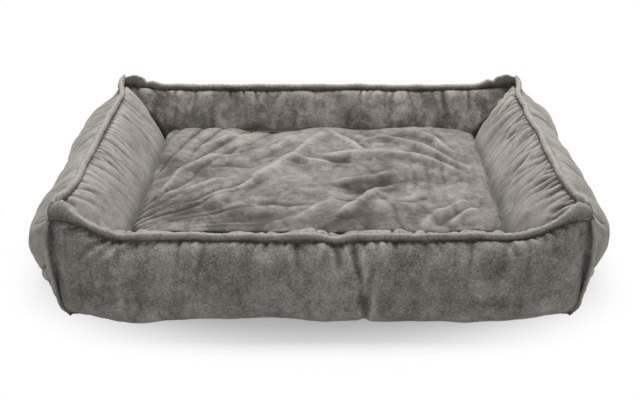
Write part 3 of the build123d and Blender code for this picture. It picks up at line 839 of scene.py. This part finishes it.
def cushion_cover_top():
    """The cushion's top plush as a sheet, with its folds, its stroked pile painted as sheen and shade, and a
    painted shadow along its rim.
    """
    top, _, edge = cushion_surfaces(*top_grid)
    normals = faced(grid_normals(top), upwards)
    x, y = top[..., 0], top[..., 1]
    fade = smooth_step(edge, 0.55, 0.93)
    rim = pleats(x + y, edge * 0.1, 0.014, 0.2, 120) - 0.3
    relief = cushion_relief(x, y) * fade + 0.0018 * (1 - fade) * edge * rim
    top = top + normals * relief[..., None]
    make_room_for_zip(top)
    # Painted light on the crests and painted shade in the creases, then the stroked pile's painted sheen and
    # shade
    pile = painted_fold_light(relief, 26, 0.0024) + stroked_pile_painted_sheen(top[..., 0], top[..., 1])
    # A painted shadow in a band just inside the rim, where the cushion meets the walls
    pile = pile - 1.6 * smooth_step(edge, 0.45, 0.75) * (1 - smooth_step(edge, 0.80, 0.97))
    return grid_mesh("cushion_top_plush", top, normals, pile=pile)


def cushion_cover_bottom():
    """The cushion's bottom plush as a sheet, pleated along its side."""
    _, bottom, edge = cushion_surfaces(*bottom_grid)
    normals = faced(grid_normals(bottom), -upwards)
    side = smooth_step(edge, 0.02, 0.3) * (1 - smooth_step(edge, 0.70, 0.88))
    relief = 0.0022 * side * pleats(bottom[..., 0] + 0.6 * bottom[..., 1], edge * 0.1, 0.02, 0.2, 121)
    bottom = bottom + normals * relief[..., None]
    bottom[..., 2] = np.maximum(bottom[..., 2], cushion_rest)
    make_room_for_zip(bottom)
    return grid_mesh("cushion_bottom_plush", bottom, normals)


# The fibre: how deep its lumps are, how far it lies inside the cushion, and its mesh inside a wall's panels
fibre_lump, cushion_fibre_inset = 0.0012, 0.0062
wall_fibre = {"columns": 110, "rows": 26, "inset": 0.0155, "low": 0.02, "high": 0.93}


def wall_wadding(wall):
    """The fibre that fills a wall: a lumpy closed body just inside its two panels."""
    outer, inner = (wall.panel(side, **wall_fibre)[0] for side in ("outer", "inner"))
    ring = np.concatenate([outer, inner[:, ::-1]], axis=1)
    outward = ring - ring.mean(axis=1, keepdims=True)
    outward = outward / np.linalg.norm(outward, axis=-1, keepdims=True)
    lumps = noise(ring[..., 0] / 0.022 + ring[..., 1] / 0.03, ring[..., 2] / 0.02, 131) - 1
    ring = ring + outward * (fibre_lump * lumps)[..., None]
    piece = grid_mesh(f"{wall.name}_wadding", wall.turned(ring), wall.turned(outward), closed=True)
    point_faces_outwards(piece, close_ends=True)
    return piece


def cushion_wadding():
    """The fibre that fills the cushion, just inside its two panels and with the top's folds."""
    top, bottom, edge = cushion_surfaces(*fibre_grid, inset=cushion_fibre_inset)
    lumps = noise(top[..., 0] / 0.024, top[..., 1] / 0.024, 133) - 1
    top[..., 2] += edge**4 * (fibre_lump * lumps + cushion_relief(top[..., 0], top[..., 1]) - 0.004)
    upper = grid_mesh("cushion_wadding", top, upwards)
    lower = grid_mesh("cushion_wadding_under", bottom, -upwards)
    select_only(upper)
    lower.select_set(True)
    bpy.ops.object.join()
    bpy.ops.object.mode_set(mode="EDIT")
    bpy.ops.mesh.select_all(action="SELECT")
    bpy.ops.mesh.remove_doubles(threshold=0.00005)
    bpy.ops.mesh.normals_make_consistent(inside=False)
    bpy.ops.object.mode_set(mode="OBJECT")
    return upper


# The flat cloths: each one's node and how far its edges are turned in, then their rounding and hems
flat_cloths = {"base": ("base_panel", 0.004), "lining": ("well_lining", 0.0)}
slab_rounding, hem_width, stitch_width, stitch_depth = 0.0009, 0.012, 0.0015, 0.0004


def cloth_slab(name, low, high):
    """A flat layer of cloth with rounded edges and a turned hem on both faces."""
    bpy.ops.object.select_all(action="DESELECT")
    bpy.ops.mesh.primitive_cube_add(size=1.0, location=(low + high) / 2)
    piece = bpy.context.active_object
    piece.name = piece.data.name = name
    piece.scale = high - low
    bpy.ops.object.transform_apply(location=True, rotation=True, scale=True)
    bpy.ops.object.mode_set(mode="EDIT")
    bpy.ops.mesh.select_all(action="SELECT")
    bpy.ops.mesh.bevel(offset=slab_rounding, segments=3, affect="EDGES")
    bpy.ops.mesh.select_all(action="DESELECT")
    bpy.ops.object.mode_set(mode="OBJECT")
    for face in piece.data.polygons:
        face.select = abs(face.normal.z) > 0.999
    bpy.ops.object.mode_set(mode="EDIT")
    bpy.ops.mesh.select_mode(type="FACE")
    bpy.ops.mesh.inset(thickness=hem_width, depth=0.0)
    bpy.ops.mesh.inset(thickness=stitch_width, depth=-stitch_depth)
    bpy.ops.object.mode_set(mode="OBJECT")
    return piece


# The zips' coils: a tooth's radius, length, rounding and stretch, its pitch, and its side's distance
tooth_radius, tooth_length, tooth_rounding, tooth_stretch = 0.00052, 0.0030, 0.00014, 2.3
coil_pitch, coil_side = 0.0014, 0.00125


def zip_coil(name, middle, axes, length):
    """A zip's coil: one bent tooth, modelled once and copied down both sides of the chain."""
    bpy.ops.object.select_all(action="DESELECT")
    bpy.ops.mesh.primitive_cylinder_add(
        vertices=8, radius=tooth_radius, depth=tooth_length, end_fill_type="NGON")
    tooth = bpy.context.active_object
    bpy.ops.object.mode_set(mode="EDIT")
    bpy.ops.mesh.select_all(action="SELECT")
    bpy.ops.mesh.bevel(offset=tooth_rounding, segments=1, affect="EDGES")
    bpy.ops.mesh.select_all(action="SELECT")
    bpy.ops.transform.rotate(value=math.pi / 2, orient_axis="X", center_override=(0, 0, 0))
    bpy.ops.transform.resize(value=(1.0, 1.0, tooth_stretch))
    bpy.ops.object.mode_set(mode="OBJECT")
    corners = np.array([vertex.co for vertex in tooth.data.vertices])
    faces = [tuple(face.vertices) for face in tooth.data.polygons]
    bpy.data.objects.remove(tooth)
    vertices, polygons = [], []
    for side in (-1, 1):
        for step in range(int(length / coil_pitch)):
            place = (step + 0.25 * side + 0.5) * coil_pitch - length / 2
            polygons += [tuple(index + len(vertices) for index in face) for face in faces]
            vertices += (middle + (corners + (place, side * coil_side, 0.0)) @ axes).tolist()
    piece = new_piece(name, vertices, polygons)
    bpy.context.view_layer.update()
    point_faces_outwards(piece)
    return piece


class Field:
    """A value in a shader. Arithmetic on it adds Math nodes."""

    def __init__(self, wiring, socket):
        self.wiring, self.socket = wiring, socket

    def combined(self, operation, other, swapped=False):
        first, second = (other, self) if swapped else (self, other)
        return self.wiring.add("ShaderNodeMath", {"operation": operation}, {0: first, 1: second})

    def __add__(self, other):
        return self.combined("ADD", other)

    def __sub__(self, other):
        return self.combined("SUBTRACT", other)

    def __rsub__(self, other):
        return self.combined("SUBTRACT", other, swapped=True)

    def __mul__(self, other):
        return self.combined("MULTIPLY", other)

    def clamped(self, low, high):
        return self.wiring.add("ShaderNodeMapRange", {"interpolation_type": "SMOOTHSTEP"},
                                {"Value": self, "From Min": low, "From Max": high})

    __radd__ = __add__
    __rmul__ = __mul__


class Wiring:
    """Adds nodes to a shader tree and links them."""

    def __init__(self, tree):
        self.tree = tree

    def link(self, socket, value):
        if isinstance(value, Field):
            self.tree.links.new(value.socket, socket)
        elif isinstance(value, bpy.types.NodeSocket):
            self.tree.links.new(value, socket)
        else:
            socket.default_value = value

    def add(self, kind, settings, values, output=0):
        node = self.tree.nodes.new(kind)
        for name, value in settings.items():
            setattr(node, name, value)
        for name, value in values.items():
            self.link(node.inputs[name], value)
        return Field(self, node.outputs[output])

    def seen_share(self):
        """1 for the rays that show a surface to the camera, 0 for those that only light the scene."""
        path = self.tree.nodes.new("ShaderNodeLightPath")
        kinds = ("Camera", "Glossy", "Transmission")
        return sum(Field(self, path.outputs[f"Is {kind} Ray"]) for kind in kinds)

    def mixed(self, share, first, second):
        return self.add("ShaderNodeMixShader", {}, {"Fac": share, 1: first, 2: second})


class Painter(Wiring):
    """Builds one material's nodes."""

    def __init__(self, name):
        self.material = bpy.data.materials.new(name)
        self.material.use_nodes = True
        super().__init__(self.material.node_tree)
        self.shader = self.tree.nodes["Principled BSDF"]
        self.place = self.tree.nodes.new("ShaderNodeTexCoord").outputs["Object"]

    def stretched(self, scale):
        return self.add("ShaderNodeMapping", {}, {"Vector": self.place, "Scale": scale})

    def cloud(self, scale, detail=2.0, roughness=0.5, distortion=0.0, vector=None):
        return self.add("ShaderNodeTexNoise", {}, {
            "Vector": vector or self.place, "Scale": scale, "Detail": detail,
            "Roughness": roughness, "Distortion": distortion})

    def ramp(self, factor, stops):
        node = self.tree.nodes.new("ShaderNodeValToRGB")
        while len(node.color_ramp.elements) < len(stops):
            node.color_ramp.elements.new(0.5)
        for element, (position, colour) in zip(node.color_ramp.elements, stops):
            element.position, element.color = position, colour
        self.link(node.inputs["Fac"], factor)
        return Field(self, node.outputs["Color"])

    def bump(self, height, distance, strength):
        return self.add("ShaderNodeBump", {}, {"Height": height, "Distance": distance, "Strength": strength})

    def finish(self, colour, normal, **constants):
        self.link(self.shader.inputs["Base Color"], colour)
        self.link(self.shader.inputs["Normal"], normal)
        for name, value in constants.items():
            self.link(self.shader.inputs[name.replace("_", " ")], value)
        return self.material


def shaded(colour, share):
    """A colour made darker or paler by a share of its light."""
    return [min(1.0, channel * share) for channel in colour[:3]] + [1.0]


def plush_material(name, lightness_and_painted_light, mottling, tufting):
    """Short crushed pile: soft patches where it leans, tufts a few millimetres wide, and a sheen, with the
    painted light and shade from the pile attribute and a lightness that paints light or shade on some pieces.
    """
    colours = bpy.context.scene.bed_colours
    paint = Painter(name)
    patches = paint.cloud(13.0, 3.0, 0.55, 0.8)
    small_patches = paint.cloud(48.0, 2.0, 0.55, 1.2)
    brushed = paint.cloud(70.0, 2.0, 0.55, 0.5, vector=paint.stretched((1.0, 1.0, 0.32)))
    tufts = paint.cloud(360.0, 2.0, 0.6, 0.3)
    grain = paint.cloud(1100.0, 1.0)
    tone = (patches - 0.5) * (0.80 * mottling) + (small_patches - 0.5) * (0.50 * mottling)
    tone = tone + (brushed - 0.5) * (0.35 * mottling) + (tufts - 0.5) * tufting + (grain - 0.5) * 0.20
    # The pile attribute: painted light on crests and painted shade in creases, seams, corners and hollows
    painted_light_and_shade = paint.add("ShaderNodeAttribute", {"attribute_name": "pile"}, {}, output="Fac")
    tone = tone + painted_light_and_shade * 0.34 + lightness_and_painted_light
    # The ramp's darkest stop, a darker copy of the dark plush, shows in deep painted shade and in the darkest
    # mottling
    colour = paint.ramp(tone, [
        (0.0, shaded(colours.plush_dark, 0.55)), (0.28, colours.plush_dark),
        (0.56, colours.plush_mid), (0.92, colours.plush_light)])
    height = tufts * 0.62 + grain * 0.20 + small_patches * 0.5
    normal = paint.bump(height, 0.0016, 0.75)
    return paint.finish(
        colour, normal, Roughness=0.92, Sheen_Weight=0.38, Sheen_Roughness=0.42,
        Sheen_Tint=(0.93, 0.91, 0.88, 1.0), Specular_IOR_Level=0.12)


def woven_material(name, colour, threads):
    """Plain weave: two crossing sets of threads with slight wear."""
    paint = Painter(name)
    warp, weft = (
        paint.add("ShaderNodeTexWave", {
            "wave_type": "BANDS", "wave_profile": "SIN", "bands_direction": direction,
        }, {"Vector": paint.place, "Scale": threads, "Distortion": 0.5, "Detail Scale": 8.0})
        for direction in ("X", "Y"))
    wear = paint.cloud(40.0, 3.0)
    tone = (warp + weft) * 0.28 + wear * 0.45
    shade = paint.ramp(tone, [(0.15, shaded(colour, 0.62)), (0.75, shaded(colour, 1.25))])
    normal = paint.bump(warp + weft, 0.0002, 0.7)
    return paint.finish(shade, normal, Roughness=0.85, Specular_IOR_Level=0.25)


def wadding_material():
    """Loose white fibre in clumps."""
    white = bpy.context.scene.bed_colours.wadding
    paint = Painter("polyester_wadding")
    fibres = paint.cloud(160.0, 5.0, 0.75, 3.0)
    clumps = paint.cloud(30.0, 2.0)
    shade = paint.ramp(fibres * 0.6 + clumps * 0.4, [(0.3, shaded(white, 0.72)), (0.6, white)])
    normal = paint.bump(fibres + clumps, 0.0015, 0.8)
    return paint.finish(shade, normal, Roughness=0.95, Sheen_Weight=0.3)


def metal_material():
    """Nickel with fine brush marks."""
    paint = Painter("zip_nickel")
    brushed = paint.cloud(900.0, 3.0, 0.6, 0.4)
    shade = paint.ramp(brushed, [(0.3, (0.30, 0.29, 0.28, 1)), (0.7, (0.46, 0.45, 0.43, 1))])
    paint.link(paint.shader.inputs["Roughness"], brushed * 0.25 + 0.25)
    return paint.finish(shade, paint.bump(brushed, 0.00005, 0.4), Metallic=1.0)


def coil_material():
    """Smooth dark nylon."""
    paint = Painter("zip_coil_nylon")
    mottled = paint.cloud(500.0, 2.0)
    shade = paint.ramp(mottled, [(0.3, (0.085, 0.078, 0.072, 1)), (0.7, (0.14, 0.13, 0.12, 1))])
    return paint.finish(shade, paint.bump(mottled, 0.00004, 0.5), Roughness=0.38, Coat_Weight=0.15)


# Each plush: how light it is, raised as painted light on the side walls and flanges and lowered as painted
# shade on the rear wall's inside, how mottled it is and how much its tufts show
plushes = {
    "plush_walls": (0.50, 1.0, 1.0),
    "plush_sides": (0.71, 0.85, 0.45),
    "plush_rear": (0.37, 1.45, 0.7),
    "plush_cushion": (0.50, 1.15, 0.45),
    "plush_flange": (0.64, 0.5, 0.8),
}

# How fine each woven cloth's threads are
weaves = {"base": 520.0, "lining": 480.0, "tape": 700.0}

other_makers = {"wadding": wadding_material, "metal": metal_material, "coil": coil_material}
materials = {}


def material(name):
    """The bed's materials, each made when a piece first asks for it."""
    if name not in materials:
        if name in plushes:
            materials[name] = plush_material(name, *plushes[name])
        elif name in weaves:
            colour = getattr(bpy.context.scene.bed_colours, name)
            materials[name] = woven_material(f"{name}_weave", colour, weaves[name])
        else:
            materials[name] = other_makers[name]()
    return materials[name]


class BedOperator:
    """What the bed's operators share."""

    bl_options = {"REGISTER", "UNDO"}


class PETBED_OT_walls(BedOperator, bpy.types.Operator):
    """Make the outer and inner plush of the four walls"""

    bl_idname = "pet_bed.walls"
    bl_label = "Walls"

    def execute(self, context):
        for name, wall in wall_forms().items():
            for side in ("outer", "inner"):
                cover = wall_cover(wall, side)
                give_thickness(cover, context.scene.bed_sizes.cloth)
                # The side walls take a lighter copy of the plush, painted light, and the rear wall's inside a
                # darker one, painted shade
                paint = "plush_sides" if wall.is_side else "plush_walls"
                if name == "rear" and side == "inner":
                    paint = "plush_rear"
                finish_piece(cover, paint, "walls", [f"{name}_{side}_panel"])
        return {"FINISHED"}


class PETBED_OT_flanges(BedOperator, bpy.types.Operator):
    """Make the rolled flanges along the top seams and down the corners"""

    bl_idname = "pet_bed.flanges"
    bl_label = "Flanges"

    def execute(self, context):
        forms = wall_forms()
        for name, wall in forms.items():
            # The flanges take a lighter copy of the plush: painted light on their tops
            finish_piece(flange_roll(wall), "plush_flange", "walls", [f"{name}_top_flange"])
        for y_name, y_side in (("front", -1), ("rear", 1)):
            for x_name, x_side in (("left", -1), ("right", 1)):
                corner = f"{y_name}_{x_name}_corner"
                roll = corner_roll(f"{corner}_roll", x_side, y_side, forms[y_name])
                finish_piece(roll, "plush_flange", "walls", [f"{corner}_flange"])
        return {"FINISHED"}


class PETBED_OT_cushion(BedOperator, bpy.types.Operator):
    """Make the loose cushion's two plush panels"""

    bl_idname = "pet_bed.cushion"
    bl_label = "Cushion"

    def execute(self, context):
        for cover, node in (
                (cushion_cover_top(), "cushion_top_panel"), (cushion_cover_bottom(), "cushion_bottom_panel")):
            give_thickness(cover, cushion_cloth)
            finish_piece(cover, "plush_cushion", "cushion", [node])
        return {"FINISHED"}


class PETBED_OT_wadding(BedOperator, bpy.types.Operator):
    """Make the fibre filling of the walls and the cushion"""

    bl_idname = "pet_bed.wadding"
    bl_label = "Filling"

    def execute(self, context):
        for name, wall in wall_forms().items():
            finish_piece(
                wall_wadding(wall), "wadding", "walls", [f"{name}_filling"])
        finish_piece(
            cushion_wadding(), "wadding", "cushion", ["cushion_filling"])
        return {"FINISHED"}


class PETBED_OT_base(BedOperator, bpy.types.Operator):
    """Make the base panel and the lining of the well"""

    bl_idname = "pet_bed.base"
    bl_label = "Base"

    def execute(self, context):
        for cloth, (node, turned_in) in flat_cloths.items():
            low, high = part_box(node)
            hem = Vector((turned_in, turned_in, 0.0))
            slab = cloth_slab(f"{cloth}_cloth", low + hem, high - hem)
            finish_piece(slab, cloth, "walls", [node])
        return {"FINISHED"}


class PETBED_OT_zips(BedOperator, bpy.types.Operator):
    """Make the zips' coils and finish their tapes, stops, sliders and pull"""

    bl_idname = "pet_bed.zips"
    bl_label = "Zips"

    def execute(self, context):
        swing = next(joint for joint in frame["joints"] if joint["name"] == "rear_zip_pull_swing")
        along = Vector((-1.0, 0.0, 0.0))
        for name, body, up in (
                ("rear_zip", "walls", -Vector(swing["axis"])), ("cushion_zip", "cushion", Vector((0, 0, 1)))):
            low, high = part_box(f"{name}_chain")
            axes = np.array([along, up, along.cross(up)])
            coil = zip_coil(f"{name}_coil", np.array((low + high) / 2), axes, high.x - low.x)
            finish_piece(coil, "coil", body, [f"{name}_chain"])
            for part, paint in (
                    ("upper_tape", "tape"), ("lower_tape", "tape"), ("stops", "metal"), ("slider", "metal")):
                paint_piece(frame["nodes"][f"{name}_{part}"], paint)
        paint_piece(frame["nodes"]["rear_zip_pull"], "metal")
        return {"FINISHED"}


# How far the bed's shadow shows on the floor, and the floor's size and place
shadow_reach_x, shadow_reach_y, floor_size, floor_place = 0.41, 0.31, 30.0, (0, 0, -0.0006)

# Where the camera stands, which way it looks, and its lens and sensor in millimetres
camera_place, camera_aim = (0.0, -1.389, 0.747), (0.0, 0.8957, -0.4453)
camera_lens, camera_sensor = 53.3, 36.0

# The lamps: name, place, target, width, depth and power
lamps = [
    ("overhead_softbox", (0.05, 0.45, 1.8), (0.0, 0.0, 0.05), 0.9, 0.7, 33.0),
    ("front_fill", (1.0, -2.4, 1.5), (0.0, 0.0, 0.08), 1.6, 1.2, 5.5),
]


def floor_material():
    """A pale floor that takes the bed's shadow and turns plain white away from it."""
    paint = Painter("studio_floor_white")
    around = paint.stretched((1 / shadow_reach_x, 1 / shadow_reach_y, 1.0))
    away = paint.add("ShaderNodeVectorMath", {"operation": "LENGTH"}, {0: around}, output="Value")
    white = paint.add("ShaderNodeEmission", {}, {"Color": (1, 1, 1, 1)})
    matt = {"Base Color": (0.93, 0.93, 0.935, 1), "Roughness": 0.9, "Specular IOR Level": 0.0}
    for name, value in matt.items():
        paint.link(paint.shader.inputs[name], value)
    share = (away.clamped(0.86, 1.36) * 0.62 + 0.38) * paint.seen_share()
    mix = paint.mixed(share, paint.shader.outputs["BSDF"], white)
    paint.link(paint.tree.nodes["Material Output"].inputs["Surface"], mix)
    return paint.material


def studio_world(scene):
    """A dim, even light from all round, which the camera sees as white."""
    scene.world = scene.world or bpy.data.worlds.new("studio")
    scene.world.use_nodes = True
    wiring = Wiring(scene.world.node_tree)
    wiring.tree.nodes.clear()
    output = wiring.tree.nodes.new("ShaderNodeOutputWorld")
    light = wiring.add("ShaderNodeBackground", {}, {"Color": (0.98, 0.99, 1.0, 1), "Strength": 0.27})
    seen = wiring.add("ShaderNodeBackground", {}, {"Color": (1, 1, 1, 1), "Strength": 1.0})
    wiring.link(output.inputs["Surface"], wiring.mixed(wiring.seen_share(), light, seen))


def area_lamp(name, place, target, width, depth, power):
    data = bpy.data.lights.new(name, "AREA")
    data.shape, data.size, data.size_y, data.energy = "RECTANGLE", width, depth, power
    lamp = bpy.data.objects.new(name, data)
    lamp.location = place
    lamp.rotation_euler = (Vector(target) - Vector(place)).to_track_quat("-Z", "Y").to_euler()
    bpy.context.scene.collection.objects.link(lamp)


def photo_camera(scene):
    """The camera, at the photograph's height, distance and angle."""
    data = bpy.data.cameras.new("photo_camera")
    data.lens, data.sensor_width = camera_lens, camera_sensor
    data.clip_start, data.clip_end = 0.05, 60.0
    camera = bpy.data.objects.new("photo_camera", data)
    camera.location = camera_place
    camera.rotation_euler = Vector(camera_aim).to_track_quat("-Z", "Y").to_euler()
    scene.collection.objects.link(camera)
    scene.camera = camera


class PETBED_OT_stage(BedOperator, bpy.types.Operator):
    """Make the floor, the lights and the camera"""

    bl_idname = "pet_bed.stage"
    bl_label = "Stage"

    def execute(self, context):
        bpy.ops.object.select_all(action="DESELECT")
        bpy.ops.mesh.primitive_plane_add(size=floor_size, location=floor_place)
        floor = context.active_object
        floor.name = "studio_floor"
        bpy.ops.object.transform_apply(location=True)
        floor.data.materials.append(floor_material())
        studio_world(context.scene)
        for lamp in lamps:
            area_lamp(*lamp)
        photo_camera(context.scene)
        context.scene.view_settings.view_transform = "Standard"
        return {"FINISHED"}


operators = (
    PETBED_OT_walls, PETBED_OT_flanges, PETBED_OT_cushion, PETBED_OT_wadding,
    PETBED_OT_base, PETBED_OT_zips, PETBED_OT_stage,
)


class PETBED_PT_panel(bpy.types.Panel):
    """The bed's sizes, colours and operators in the sidebar"""

    bl_idname = "PETBED_PT_panel"
    bl_label = "Bolster Pet Bed"
    bl_space_type = "VIEW_3D"
    bl_region_type = "UI"
    bl_category = "Pet Bed"

    def draw(self, context):
        for operator in operators:
            self.layout.operator(operator.bl_idname)
        for group in (context.scene.bed_sizes, context.scene.bed_colours):
            for name in group.__annotations__:
                self.layout.prop(group, name)


classes = (BedSizes, BedColours, *operators, PETBED_PT_panel)


def register():
    for kind in classes:
        bpy.utils.register_class(kind)
    bpy.types.Scene.bed_sizes = PointerProperty(type=BedSizes)
    bpy.types.Scene.bed_colours = PointerProperty(type=BedColours)


def unregister():
    del bpy.types.Scene.bed_colours
    del bpy.types.Scene.bed_sizes
    for kind in reversed(classes):
        bpy.utils.unregister_class(kind)


def main():
    register()
    for operator in operators:
        group, name = operator.bl_idname.split(".")
        getattr(getattr(bpy.ops, group), name)()


if __name__ == "__main__":
    main()
